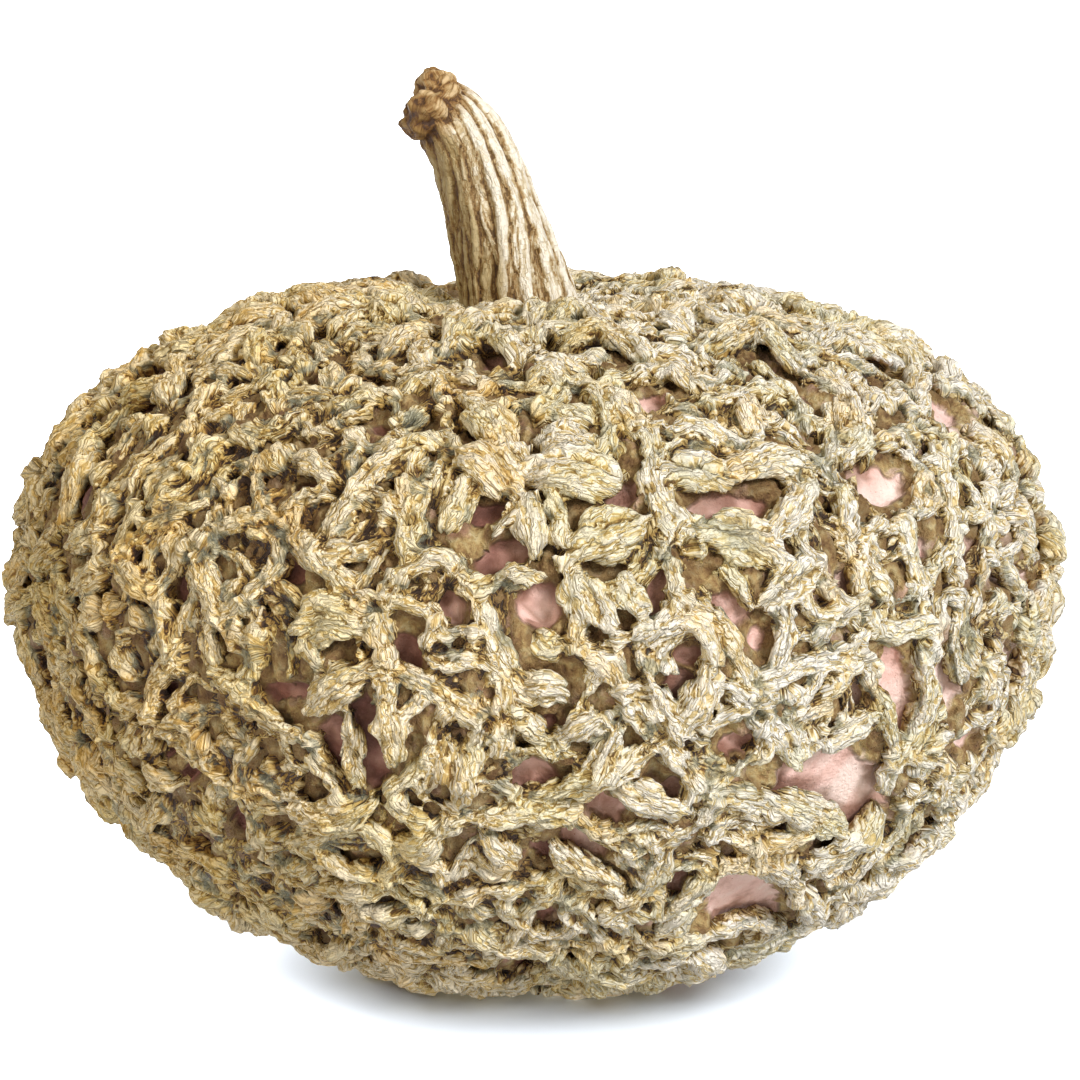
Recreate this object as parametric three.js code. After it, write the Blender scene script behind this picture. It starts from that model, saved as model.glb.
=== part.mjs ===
// Winter squash with a warty rind: one grown fruit and its dry stem.
// Millimetres, +Z up. The origin is on the resting surface, under the middle of the fruit.
// The front faces -Y, and +X is to the right of it.
import * as THREE from "three";

// Fruit
const fruitRadius = 150; // at the widest level, over the lobes
const widestHeight = 114; // of that level above the resting surface
const lowerDepth = 118; // of the round underside, before its flat spot
const upperRise = 87; // of the dome above the widest level
const domeSquareness = 2.3; // 2 is an ellipse, and more is a fuller shoulder
const restRadius = 38; // of the flat spot it rests on
const fruitSegments = 80; // round the axis
const undersideSteps = 13;
const domeSteps = 14;
const edgeTolerance = 0.01; // a point this close to the flat spot's or the seat's edge is on it

// Lobes: shallow furrows that run from the stem to the flat spot
const lobeCount = 10;
const furrowDepth = 4.5;
const furrowSharpness = 0.75;
const frontFurrowTurn = THREE.MathUtils.degToRad(2); // to the right of the front

// Hollow at the stem
const seatRadius = 21; // flat floor of the hollow, which carries the stem
const seatHeight = 191;
const hollowRimRadius = 58;

// Stem
const stemGap = 0.3; // between the stem's foot and its seat
const stemFootRadius = 17.2;
const stemNeckRadius = 11.2;
const stemEndRadius = 12.6; // the swollen cut end
const stemFlare = 1.6; // 1 narrows evenly from foot to end, and more narrows near the foot
const swellingStart = 0.8; // along the stem, from 0 at the foot to 1 at the cut end
const swellingFull = 0.95;
const uprightShare = 0.2; // of the stem, over which it turns from upright to its line
const stemFlutes = 7;
const fluteDepth = 0.1; // as a share of the stem's radius
const fluteTwist = 0.7; // radians from foot to end
const stemSegments = 42;
const stemSteps = 18;
const stemLine = [
  [-4, 0, seatHeight + stemGap],
  [-6.5, 0, 205],
  [-12.5, -0.5, 224],
  [-20, -1.5, 241],
  [-31, -3, 255],
];

const rindMaterial = new THREE.MeshStandardMaterial({
  color: 0xbfa981,
  roughness: 0.9,
  metalness: 0,
});
const stemMaterial = new THREE.MeshStandardMaterial({
  color: 0xab9772,
  roughness: 0.85,
  metalness: 0,
});

// Height of the dome over a point at this distance from the axis, hollow included.
function domeHeight(distance) {
  const share = Math.min(distance / fruitRadius, 1);
  const rise = (1 - share ** domeSquareness) ** (1 / domeSquareness);
  const dome = widestHeight + upperRise * rise;
  const fromSeat = THREE.MathUtils.smoothstep(distance, seatRadius, hollowRimRadius);
  return THREE.MathUtils.lerp(seatHeight, dome, fromSeat);
}

// Half outline of the fruit, from the middle of the flat spot up to the middle of the hollow.
function fruitOutline() {
  const outline = [new THREE.Vector2(0, 0), new THREE.Vector2(restRadius / 2, 0)];
  const firstAngle = Math.asin(widestHeight / lowerDepth);
  for (let step = 0; step < undersideSteps; step++) {
    const angle = firstAngle * (1 - step / undersideSteps);
    const span = Math.cos(angle) - Math.cos(firstAngle);
    const reach = span / (1 - Math.cos(firstAngle));
    const distance = THREE.MathUtils.lerp(restRadius, fruitRadius, reach);
    outline.push(new THREE.Vector2(distance, widestHeight - lowerDepth * Math.sin(angle)));
  }
  for (let step = 0; step < domeSteps; step++) {
    const angle = (Math.PI / 2) * (step / domeSteps);
    const distance = THREE.MathUtils.lerp(seatRadius, fruitRadius, Math.cos(angle));
    outline.push(new THREE.Vector2(distance, domeHeight(distance)));
  }
  outline.push(new THREE.Vector2(seatRadius, seatHeight), new THREE.Vector2(0, seatHeight));
  return outline;
}

// How far a furrow draws the rind in at this angle: 1 in a furrow and 0 on a lobe.
function furrowAt(turn) {
  const phase = (lobeCount * (turn - frontFurrowTurn)) / 2;
  return 1 - Math.abs(Math.sin(phase)) ** furrowSharpness;
}

// The furrows are deepest at the widest level and run out at the flat spot and at the seat.
function makeFruit() {
  const geometry = new THREE.LatheGeometry(fruitOutline(), fruitSegments);
  geometry.rotateX(Math.PI / 2); // the lathe's axis becomes Z
  const place = geometry.getAttribute("position");
  for (let i = 0; i < place.count; i++) {
    const point = new THREE.Vector3().fromBufferAttribute(place, i);
    const distance = Math.hypot(point.x, point.y);
    if (distance <= restRadius + edgeTolerance && point.z < widestHeight) continue;
    if (distance <= seatRadius + edgeTolerance) continue;
    const inner = point.z < widestHeight ? restRadius : seatRadius;
    const weight = Math.sin((Math.PI / 2) * ((distance - inner) / (fruitRadius - inner)));
    const turn = Math.atan2(point.x, -point.y); // from the front, towards +X
    const drawn = (distance - furrowDepth * weight * furrowAt(turn)) / distance;
    place.setXY(i, point.x * drawn, point.y * drawn);
  }
  const fruit = new THREE.Mesh(geometry, rindMaterial);
  fruit.name = "squash_body";
  return fruit;
}

// Radius of the stem along its line, from 0 at the foot to 1 at the cut end.
function stemRadius(along) {
  const flare = (1 - along) ** stemFlare;
  const taper = THREE.MathUtils.lerp(stemNeckRadius, stemFootRadius, flare);
  const swelling = THREE.MathUtils.smoothstep(along, swellingStart, swellingFull);
  return taper + (stemEndRadius - stemNeckRadius) * swelling;
}

// A fluted, tapering cylinder bent along the stem's line. Its foot stays flat on the seat.
function makeStem() {
  const line = new THREE.CatmullRomCurve3(stemLine.map((p) => new THREE.Vector3(...p)));
  const geometry = new THREE.CylinderGeometry(1, 1, 1, stemSegments, stemSteps);
  const place = geometry.getAttribute("position");
  const back = new THREE.Vector3(0, 1, 0);
  for (let i = 0; i < place.count; i++) {
    const along = place.getY(i) + 0.5; // the plain cylinder runs from -0.5 to 0.5
    const turn = Math.atan2(place.getZ(i), place.getX(i));
    const reach = Math.hypot(place.getX(i), place.getZ(i)); // 1 on the side, 0 at a cap's middle
    const flute = 1 + fluteDepth * Math.cos(stemFlutes * (turn + fluteTwist * along));
    const radius = reach * stemRadius(along) * flute;
    const upright = THREE.MathUtils.smoothstep(along, 0, uprightShare);
    const tangent = line.getTangentAt(along).lerp(new THREE.Vector3(0, 0, 1), 1 - upright);
    const side = new THREE.Vector3().crossVectors(back, tangent).normalize();
    const depth = new THREE.Vector3().crossVectors(tangent, side).normalize();
    const point = line.getPointAt(along);
    point.addScaledVector(side, radius * Math.cos(turn));
    point.addScaledVector(depth, -radius * Math.sin(turn));
    place.setXYZ(i, point.x, point.y, point.z);
  }
  const stem = new THREE.Mesh(geometry, stemMaterial);
  stem.name = "stem";
  return stem;
}

const squash = new THREE.Group();
squash.add(makeFruit(), makeStem());

export default squash;
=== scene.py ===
# Warty winter squash: the rind under its cork warts, and the dry stem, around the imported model
import math
import random
from itertools import product

import bpy
import numpy as np
from mathutils import Matrix, Vector, noise
from mathutils.bvhtree import BVHTree
from mathutils.kdtree import KDTree


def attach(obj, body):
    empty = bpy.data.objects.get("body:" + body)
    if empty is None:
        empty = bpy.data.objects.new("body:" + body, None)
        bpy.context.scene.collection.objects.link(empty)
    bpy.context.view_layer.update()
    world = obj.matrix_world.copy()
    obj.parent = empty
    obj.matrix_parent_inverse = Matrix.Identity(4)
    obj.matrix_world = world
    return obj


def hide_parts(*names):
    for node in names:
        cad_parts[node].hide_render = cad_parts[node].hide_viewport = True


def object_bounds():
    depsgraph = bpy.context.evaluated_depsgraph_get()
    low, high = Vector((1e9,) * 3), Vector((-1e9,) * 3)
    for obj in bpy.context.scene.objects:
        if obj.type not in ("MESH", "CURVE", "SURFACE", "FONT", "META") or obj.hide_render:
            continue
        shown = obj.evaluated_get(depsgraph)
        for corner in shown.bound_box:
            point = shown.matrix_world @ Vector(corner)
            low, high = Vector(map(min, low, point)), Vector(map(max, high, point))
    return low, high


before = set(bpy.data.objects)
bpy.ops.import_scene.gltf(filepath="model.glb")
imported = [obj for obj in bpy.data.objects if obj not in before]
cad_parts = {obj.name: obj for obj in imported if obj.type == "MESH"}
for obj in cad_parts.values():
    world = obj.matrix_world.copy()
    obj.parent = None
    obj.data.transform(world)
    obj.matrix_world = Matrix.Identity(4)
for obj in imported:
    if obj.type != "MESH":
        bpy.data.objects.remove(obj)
cadLow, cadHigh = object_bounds()
scene = bpy.context.scene
draw = random.Random(20)
perMetre = 1000  # the grain that the materials follow is kept in millimetres
farOff = 9.0  # half widths, for a point that nothing is near
print("frame loaded:", sorted(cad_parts))


# small helpers

def deselectAll():
    if bpy.context.object and bpy.context.object.mode != "OBJECT":
        bpy.ops.object.mode_set(mode="OBJECT")
    bpy.ops.object.select_all(action="DESELECT")


def makeActive(thing):
    deselectAll()
    thing.select_set(True)
    bpy.context.view_layer.objects.active = thing


def applyModifier(thing, kind, **settings):
    makeActive(thing)
    modifier = thing.modifiers.new(kind.title(), kind)
    modifier.show_viewport = False  # worked out once, when it is applied
    for name, value in settings.items():
        setattr(modifier, name, value)
    bpy.ops.object.modifier_apply(modifier=modifier.name)


def voxelRemesh(thing, size):
    makeActive(thing)
    thing.data.remesh_voxel_size = size
    thing.data.use_remesh_fix_poles = False
    thing.data.use_remesh_preserve_volume = False
    bpy.ops.object.voxel_remesh()


def readVectors(items, name):
    flat = np.empty(len(items) * 3)
    items.foreach_get(name, flat)
    return flat.reshape(-1, 3)


def setCoords(mesh, coords):
    mesh.vertices.foreach_set("co", coords.astype(np.float32).ravel())
    mesh.update()


def setAttribute(mesh, name, values):
    kind, field = ("FLOAT", "value") if values.ndim == 1 else ("FLOAT_VECTOR", "vector")
    attribute = mesh.attributes.new(name, kind, "POINT")
    attribute.data.foreach_set(field, values.astype(np.float32).ravel())


def smoothStep(low, high, value):
    share = np.clip((value - low) / (high - low), 0, 1)
    return share * share * (3 - 2 * share)


def noiseAt(points, scale, offset=0.0):
    shift = Vector((offset, offset * 0.7, -offset))
    return np.array([noise.noise(Vector(p) * scale + shift) for p in points])


def edgeEnds(mesh):
    ends = np.empty(len(mesh.edges) * 2, dtype=np.int64)
    mesh.edges.foreach_get("vertices", ends)
    return ends[0::2], ends[1::2]


def newPiece(name, vertices, faces):
    mesh = bpy.data.meshes.new(name)
    mesh.from_pydata(vertices, [], faces)
    piece = bpy.data.objects.new(name, mesh)
    scene.collection.objects.link(piece)
    return piece


def tubeFaces(first, rings, sides):  # walls between rings of vertices, and a cap at each end
    faces = []
    for ring in range(rings - 1):
        low = first + ring * sides
        high = low + sides
        for k in range(sides):
            after = (k + 1) % sides
            faces.append((low + k, low + after, high + after, high + k))
    last = first + (rings - 1) * sides
    faces.append(tuple(reversed(range(first, first + sides))))
    faces.append(tuple(range(last, last + sides)))
    return faces


def between(limits):
    return draw.uniform(*limits)


def either(most):
    return draw.uniform(-most, most)


def anyHeading(normal):
    return Matrix.Rotation(draw.uniform(0, 2 * math.pi), 3, normal) @ normal.orthogonal().normalized()


# camera at the photograph's viewpoint

photoView = {
    "imageSide": 1080,  # pixels of the square picture
    "focalPixels": 3471,  # focal length in those pixels
    "place": (0.0, -0.9816, 0.2908),  # 11 degrees above the fruit's middle, 1 m away
    "aim": (0.0011, 0.0, 0.1236),  # what the middle of the picture shows
    "pixelSize": 0.000284,  # metres that a pixel covers at the fruit
    "sensor": 36.0,  # millimetres
}


def makeCamera():
    cameraData = bpy.data.cameras.new("photoCamera")
    cameraData.sensor_width = photoView["sensor"]
    cameraData.lens = photoView["sensor"] * photoView["focalPixels"] / photoView["imageSide"]
    camera = bpy.data.objects.new("photoCamera", cameraData)
    scene.collection.objects.link(camera)
    camera.location = photoView["place"]
    lookAlong = Vector(photoView["aim"]) - camera.location
    camera.rotation_mode = "QUATERNION"
    camera.rotation_quaternion = lookAlong.to_track_quat("-Z", "Y")
    scene.camera = camera
    bpy.context.view_layer.update()
    return camera


camera = makeCamera()
cameraTurn = camera.rotation_quaternion.copy()
cameraPlace = Vector(photoView["place"])


def rayThrough(pixelX, pixelY):
    half = photoView["imageSide"] / 2
    direction = Vector((pixelX - half, half - pixelY, -photoView["focalPixels"]))
    return (cameraTurn @ direction).normalized()


print("camera placed")


# skin: the smooth body that the cork grows on

skinLook = {
    "depth": 0.0072,  # under the CAD surface, which runs along the tops of the warts
    "crest": 0.0055,  # height over the skin at which the warts are seen
    "weld": 0.00005,  # within which the CAD model's loose triangles are joined
    "smoothing": 2,
    "grid": 0.0013,  # of the surface that carries the crust
    "heart": 0.4,  # of the overall height, at which the fruit's middle is
}


def makeSkin():
    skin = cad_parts["squash_body"].copy()
    skin.data = skin.data.copy()
    skin.name = "rind"
    skin.parent = None
    scene.collection.objects.link(skin)
    for key in list(skin.keys()):
        del skin[key]
    skin.data.materials.clear()
    makeActive(skin)
    bpy.ops.object.mode_set(mode="EDIT")
    bpy.ops.mesh.select_all(action="SELECT")
    bpy.ops.mesh.remove_doubles(threshold=skinLook["weld"])
    bpy.ops.mesh.customdata_custom_splitnormals_clear()
    bpy.ops.object.mode_set(mode="OBJECT")
    applyModifier(skin, "SUBSURF", levels=skinLook["smoothing"], render_levels=skinLook["smoothing"])
    coords = readVectors(skin.data.vertices, "co")
    setCoords(skin.data, coords - skinLook["depth"] * readVectors(skin.data.vertices, "normal"))
    return skin


def treeOver(thing, lift):
    vertices = thing.data.vertices
    coords = readVectors(vertices, "co") + lift * readVectors(vertices, "normal")
    faces = [tuple(face.vertices) for face in thing.data.polygons]
    return BVHTree.FromPolygons([tuple(c) for c in coords], faces)


rind = makeSkin()
skinTree = treeOver(rind, 0.0)
crestTree = treeOver(rind, skinLook["crest"])
heartHeight = cadHigh.z * skinLook["heart"]
print("skin:", len(rind.data.vertices), "vertices")


def onSkin(point):
    place, normal, _, _ = skinTree.find_nearest(point)
    return place, normal


def seenAt(pixelX, pixelY):
    return skinTree.ray_cast(cameraPlace, rayThrough(pixelX, pixelY))[0]


# what the photograph shows of the warts, in its pixels: a width, then the points of a middle line

petals = {  # flattened pods, from the star they grow out of to their free end
    "middle": [
        (60, (515, 473), (565, 472), (622, 480)), (52, (452, 448), (485, 465), (512, 492)),
        (38, (529, 486), (530, 515), (536, 556)), (56, (562, 553), (600, 535), (645, 514)),
        (24, (567, 565), (572, 592), (584, 622)), (30, (580, 572), (598, 600), (614, 638)),
        (28, (498, 584), (520, 576), (546, 577)), (42, (462, 396), (488, 420), (512, 452)),
        (26, (622, 574), (630, 592), (646, 616)), (36, (520, 690), (545, 688), (568, 697)),
        (34, (540, 442), (556, 436), (600, 448)),
    ],
    "rightStar": [
        (46, (815, 466), (770, 462), (722, 472)), (38, (812, 480), (795, 510), (766, 542)),
        (20, (832, 478), (840, 505), (846, 530)), (36, (828, 460), (836, 430), (834, 400)),
        (30, (838, 462), (855, 445), (864, 425)), (56, (695, 528), (740, 535), (790, 557)),
        (44, (762, 606), (790, 585), (818, 560)), (38, (660, 428), (695, 428), (734, 438)),
        (50, (655, 470), (695, 470), (734, 480)), (32, (745, 395), (752, 420), (764, 440)),
        (24, (788, 606), (786, 635), (776, 668)), (36, (628, 374), (670, 364), (704, 388)),
    ],
    "leftStar": [
        (50, (364, 630), (330, 620), (292, 632)), (42, (370, 662), (335, 685), (304, 716)),
        (32, (378, 694), (388, 725), (393, 768)), (22, (346, 712), (350, 750), (358, 790)),
        (18, (448, 735), (440, 765), (428, 792)), (26, (460, 742), (464, 775), (461, 810)),
        (26, (290, 463), (310, 466), (334, 478)), (20, (300, 505), (315, 495), (334, 490)),
    ],
    "lowMiddle": [
        (32, (648, 757), (600, 776), (546, 797)), (38, (612, 786), (645, 800), (692, 816)),
        (32, (600, 716), (580, 726), (562, 742)), (28, (618, 722), (606, 748), (590, 776)),
        (40, (708, 664), (700, 700), (682, 738)), (26, (646, 676), (660, 705), (680, 740)),
        (42, (548, 850), (585, 876), (626, 906)), (34, (558, 895), (575, 915), (594, 938)),
        (28, (724, 862), (695, 892), (655, 921)), (32, (480, 834), (498, 850), (518, 868)),
        (46, (770, 800), (810, 815), (846, 832)),
    ],
    "lowLeft": [
        (42, (376, 800), (335, 814), (290, 806)), (24, (400, 880), (355, 872), (314, 848)),
        (20, (430, 905), (385, 915), (346, 905)), (16, (362, 938), (335, 945), (310, 945)),
        (40, (440, 832), (420, 845), (396, 846)), (26, (246, 700), (262, 718), (284, 732)),
        (24, (388, 890), (360, 893), (330, 892)),
    ],
    "lowRight": [
        (40, (886, 812), (850, 842), (806, 868)), (26, (880, 712), (850, 730), (818, 750)),
        (24, (893, 754), (892, 775), (888, 798)), (28, (742, 866), (772, 870), (804, 892)),
        (24, (788, 888), (806, 902), (824, 918)), (20, (940, 826), (915, 850), (880, 872)),
    ],
    "farLeft": [
        (46, (96, 430), (78, 478), (60, 526)), (40, (182, 470), (160, 485), (148, 508)),
        (30, (108, 528), (85, 536), (64, 548)), (30, (114, 560), (92, 572), (66, 594)),
        (26, (116, 562), (132, 580), (150, 600)), (40, (186, 508), (166, 514), (146, 524)),
        (30, (154, 735), (175, 730), (200, 738)), (18, (156, 798), (152, 815), (148, 838)),
    ],
    "top": [
        (24, (548, 322), (582, 308), (618, 332)), (34, (556, 338), (605, 334), (658, 362)),
        (24, (688, 308), (722, 322), (764, 332)), (42, (698, 348), (756, 334), (804, 370)),
        (30, (470, 340), (500, 340), (524, 364)), (40, (446, 350), (462, 325), (490, 316)),
        (34, (526, 384), (545, 374), (566, 386)), (30, (380, 352), (410, 336), (436, 330)),
        (30, (402, 380), (430, 372), (448, 380)),
    ],
}
ropes = {  # ribs that run between the stars
    "left": [
        (25, (283, 525), (328, 575), (370, 608)), (26, (366, 604), (378, 634), (384, 670)),
        (26, (440, 430), (400, 452), (370, 472), (345, 503), (322, 538)),
        (24, (384, 666), (430, 692), (484, 728)), (20, (305, 750), (325, 778), (350, 802)),
        (22, (384, 586), (412, 566), (444, 560), (468, 584)),
        (16, (442, 574), (472, 592), (478, 622), (464, 642)),
        (20, (376, 598), (420, 608), (446, 632)), (14, (424, 634), (428, 654), (434, 672)),
        (22, (436, 662), (470, 660), (498, 676), (505, 704), (488, 722)),
        (15, (478, 724), (476, 760), (472, 802)), (20, (386, 800), (420, 772), (436, 744)),
        (16, (402, 474), (404, 505), (414, 548)), (16, (372, 510), (398, 520), (404, 560)),
        (14, (290, 735), (300, 740), (314, 746)),
    ],
    "middle": [
        (30, (480, 588), (492, 630), (520, 682), (566, 706)), (24, (500, 690), (506, 728), (500, 764)),
        (14, (500, 762), (528, 750), (562, 762)), (14, (500, 792), (530, 801), (564, 794)),
        (32, (652, 448), (662, 500), (702, 552)), (18, (574, 374), (602, 402), (614, 446)),
        (16, (656, 540), (674, 572), (672, 612)), (22, (700, 598), (735, 642), (762, 694)),
        (22, (560, 640), (600, 660), (622, 692)), (26, (602, 640), (622, 692), (655, 735), (714, 800)),
        (20, (648, 644), (680, 622), (708, 636), (717, 672)),
        (18, (690, 748), (722, 722), (758, 704)), (14, (750, 720), (766, 745), (750, 766), (718, 768)),
        (30, (758, 682), (774, 724), (806, 770)), (26, (790, 690), (797, 730), (804, 762)),
        (28, (438, 826), (505, 818), (584, 813)), (24, (602, 376), (622, 402), (650, 438)),
        (20, (506, 708), (540, 734), (566, 740)), (20, (686, 596), (664, 625), (630, 640)),
    ],
    "right": [
        (20, (862, 650), (832, 700), (812, 748)), (22, (862, 650), (882, 700), (894, 748)),
        (24, (925, 642), (932, 696), (914, 748)), (24, (866, 628), (902, 630), (936, 628), (938, 664)),
        (20, (866, 626), (898, 602), (930, 604)), (18, (862, 624), (836, 592), (822, 576)),
        (20, (754, 358), (798, 398), (812, 432)), (18, (930, 432), (948, 482), (956, 522), (956, 562)),
        (18, (956, 562), (966, 602), (958, 648), (970, 690)),
        (18, (984, 480), (991, 530), (984, 582), (974, 622), (990, 660)),
        (16, (1008, 480), (1022, 530), (1008, 560), (1030, 600)),
        (26, (898, 516), (912, 556), (926, 598)), (18, (882, 518), (866, 548), (880, 580), (892, 596)),
        (16, (906, 446), (936, 490), (922, 522)), (16, (870, 400), (868, 430), (874, 462)),
        (20, (826, 350), (858, 372), (876, 412)), (20, (816, 372), (846, 392), (862, 428)),
        (20, (905, 798), (902, 830), (864, 868), (832, 902)),
        (16, (966, 796), (905, 868), (850, 906)), (22, (898, 745), (930, 762), (962, 770)),
        (20, (910, 790), (945, 800), (975, 790)), (16, (1000, 640), (1006, 690), (990, 740)),
        (22, (840, 545), (862, 556), (866, 600)), (18, (838, 652), (860, 640), (868, 626)),
    ],
    "low": [
        (22, (280, 843), (320, 838), (348, 826), (378, 838), (398, 866)),
        (22, (274, 858), (306, 888), (350, 897)), (24, (288, 904), (332, 930), (400, 956), (474, 966)),
        (22, (456, 900), (520, 890), (566, 878)), (20, (562, 880), (530, 912), (500, 954)),
        (22, (455, 978), (512, 986), (566, 968)), (22, (578, 826), (620, 852), (655, 850), (722, 814)),
        (22, (668, 853), (642, 896), (600, 921)), (20, (658, 952), (712, 938), (762, 926), (802, 945)),
        (22, (636, 981), (700, 976), (762, 960), (822, 930)), (24, (596, 945), (625, 960), (640, 985)),
        (26, (700, 800), (745, 802), (795, 815)), (24, (740, 850), (785, 842), (812, 832)),
        (20, (470, 930), (500, 945), (560, 950)), (20, (420, 905), (445, 930), (440, 960)),
    ],
    "farLeft": [
        (22, (56, 575), (68, 618), (92, 662), (110, 694)), (28, (192, 556), (214, 604), (244, 650)),
        (20, (282, 555), (242, 600), (222, 612)), (24, (188, 548), (228, 524), (284, 510)),
        (16, (20, 600), (28, 648), (42, 694), (62, 724)), (14, (32, 600), (46, 645), (64, 695)),
        (38, (172, 430), (126, 476), (90, 502)), (20, (116, 560), (130, 545), (148, 530)),
        (14, (66, 664), (80, 700), (96, 734)), (20, (106, 718), (110, 758), (144, 792)),
        (24, (194, 738), (206, 770), (228, 794)), (24, (250, 738), (238, 770), (247, 812), (264, 852)),
        (24, (118, 800), (160, 842), (222, 872), (274, 908)), (14, (216, 476), (212, 510), (204, 530)),
        (14, (232, 476), (226, 505), (238, 520)), (14, (256, 446), (252, 480), (262, 510)),
        (18, (250, 428), (215, 440), (196, 452)), (20, (160, 600), (168, 640), (176, 680)),
        (18, (196, 610), (206, 650), (214, 690)), (20, (112, 690), (120, 705), (140, 700)),
        (22, (180, 640), (150, 690), (148, 730)), (22, (260, 610), (255, 650), (240, 690)),
    ],
}
bareSpots = [  # openings down to the skin: middle, half width, half height, turn in degrees
    (828, 790, 56, 36, -8), (742, 902, 38, 24, 0), (893, 690, 13, 46, -6), (726, 511, 38, 17, 0),
    (872, 486, 28, 18, 20), (336, 742, 18, 26, 0), (370, 740, 20, 44, -12), (540, 604, 22, 24, 0),
    (505, 558, 32, 16, -25), (530, 775, 26, 16, 0), (408, 653, 15, 22, -20), (451, 607, 12, 20, -15),
    (450, 692, 14, 12, 0), (657, 592, 10, 28, 5), (729, 609, 20, 14, 25), (846, 582, 13, 14, 0),
    (295, 574, 12, 12, 0), (652, 407, 15, 11, 0), (800, 411, 10, 16, -20), (402, 484, 10, 12, 0),
    (230, 641, 13, 10, 0), (680, 690, 20, 24, 0), (735, 742, 18, 9, -15), (604, 801, 24, 13, 20),
    (585, 836, 26, 16, 10), (676, 876, 9, 20, 30), (545, 905, 8, 10, 0), (528, 955, 18, 9, 0),
    (546, 845, 16, 10, 0), (332, 841, 14, 9, 0), (345, 876, 26, 8, 20), (672, 786, 13, 8, 0),
    (852, 690, 10, 24, 12), (942, 676, 8, 30, -6), (962, 552, 8, 14, 0), (914, 547, 7, 14, -15),
    (971, 595, 7, 20, 0), (1012, 578, 10, 14, -15), (85, 500, 10, 32, 30), (188, 588, 9, 20, 0),
    (80, 603, 11, 14, 0), (56, 664, 8, 24, -12), (192, 470, 8, 10, 0), (131, 665, 13, 9, 30),
    (92, 672, 7, 14, 0), (146, 568, 6, 16, 0), (240, 490, 5, 11, 0), (764, 380, 12, 14, -25),
    (494, 366, 10, 9, 0), (482, 440, 18, 6, 30), (490, 515, 24, 10, -8), (575, 360, 14, 7, 0),
    (678, 444, 16, 6, 0), (310, 492, 12, 7, -20), (382, 432, 9, 5, 20), (320, 392, 12, 6, 10),
    (300, 690, 12, 8, -10), (690, 655, 20, 8, 0), (880, 588, 6, 11, 0), (545, 720, 12, 6, -15),
    (620, 495, 18, 14, 0), (985, 640, 8, 10, 0), (1000, 655, 8, 6, 0), (960, 735, 8, 12, 10),
    (900, 412, 6, 5, 0), (918, 388, 4, 10, -20), (940, 380, 4, 7, 0), (965, 388, 4, 6, -20),
    (282, 690, 14, 10, 0), (150, 770, 13, 6, 15), (195, 768, 10, 7, 0), (206, 840, 8, 8, 0),
    (246, 816, 7, 14, -25), (174, 746, 8, 6, 20), (172, 690, 7, 9, 0), (755, 640, 9, 10, 0),
]


# strands: each wart is a swept shell along the skin, with its underside free towards its end

strandLook = {
    "step": 0.0015,  # between rings along a strand
    "ringSides": 16,
    "leastRings": 4,
    "root": 0.001,  # how far it goes into the skin
    "wave": 0.22,  # of its unevenness, a ring
    "keySpread": 90,  # of the noise that the strands are spread over, so that no two are alike
    "petalRise": (0.0084, 0.0102),  # of its top over the skin
    "petalEnds": 0.72,  # of that rise, where it starts and ends
    "petalThick": (0.0042, 0.0058),
    "petalStout": 0.6,  # most that its thickness is, against its width
    "petalFree": (0.15, 0.75),  # along it, where its underside leaves the skin
    "petalNeck": 0.58,  # of its width, where it leaves its star
    "petalFull": 0.55,  # along it, where it is at its full width
    "petalUneven": 0.2,
    "dentShare": 0.4,  # of the petals that are sunk along their middle
    "dent": (0.3, 0.75),
    "ropeRise": (0.0060, 0.0078),
    "ropeEnds": 0.6,  # of that rise, where it runs out
    "ropeHeave": 0.2,  # how uneven that rise is
    "uneven": 0.42,  # of a rib's width
    "bridgeWaist": 0.78,  # of its width, halfway
    "bridgeFlare": 0.55,  # more of it, at what it joins
    "sidesFull": 0.8,  # 1 is an ellipse, and less is fuller
    "topFull": 0.75,
    "widest": 0.42,  # of its height, where it is widest
    "lumps": 0.0015,
    "ragged": 0.0016,  # the same to the sides
    "raggedFrom": 31.0,  # where in the noise that starts
    "lumpSize": 0.0045,
    "web": {"petal": 0.1, "rope": 1.0, "bridge": 0.9},  # share of the crust's web that climbs its sides
    "farthest": 0.012,  # up to which the room beside a wart is measured
}
strands = []


def petalWidth(share):  # rounded at its ends
    neck = strandLook["petalNeck"]
    narrow = neck + (1 - neck) * smoothStep(0.0, strandLook["petalFull"], share)
    return np.sin(np.pi * np.clip(share, 0.04, 0.985) ** 0.9) ** 0.5 * narrow


def ropeWidth(share):  # even, and rounded off near its ends
    return np.minimum(1, np.sin(np.pi * np.clip(share, 0.01, 0.99)) * 3.5) ** 0.5


def bridgeWidth(share):  # flares into what it joins
    return strandLook["bridgeWaist"] + strandLook["bridgeFlare"] * (2 * share - 1) ** 2


def smoothLine(points, spacing):  # a Catmull-Rom curve through the points
    knots = [np.array(point) for point in points]
    knots = [2 * knots[0] - knots[1], *knots, 2 * knots[-1] - knots[-2]]
    line = []
    for a, b, c, d in zip(knots, knots[1:], knots[2:], knots[3:]):
        steps = max(2, round(float(np.linalg.norm(c - b)) / spacing))
        for t in np.linspace(0, 1, steps, endpoint=False):
            line.append(0.5 * (2 * b + (c - a) * t + (2 * a - 5 * b + 4 * c - d) * t ** 2
                               + (3 * b - a - 3 * c + d) * t ** 3))
    return line + [knots[-2]]


def tracedLine(points):
    spacing = strandLook["step"] / photoView["pixelSize"]
    rays = [rayThrough(x, y) for x, y in smoothLine(points, spacing)]
    hits = [crestTree.ray_cast(cameraPlace, ray)[0] for ray in rays]
    return [onSkin(hit) for hit in hits if hit is not None]


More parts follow.
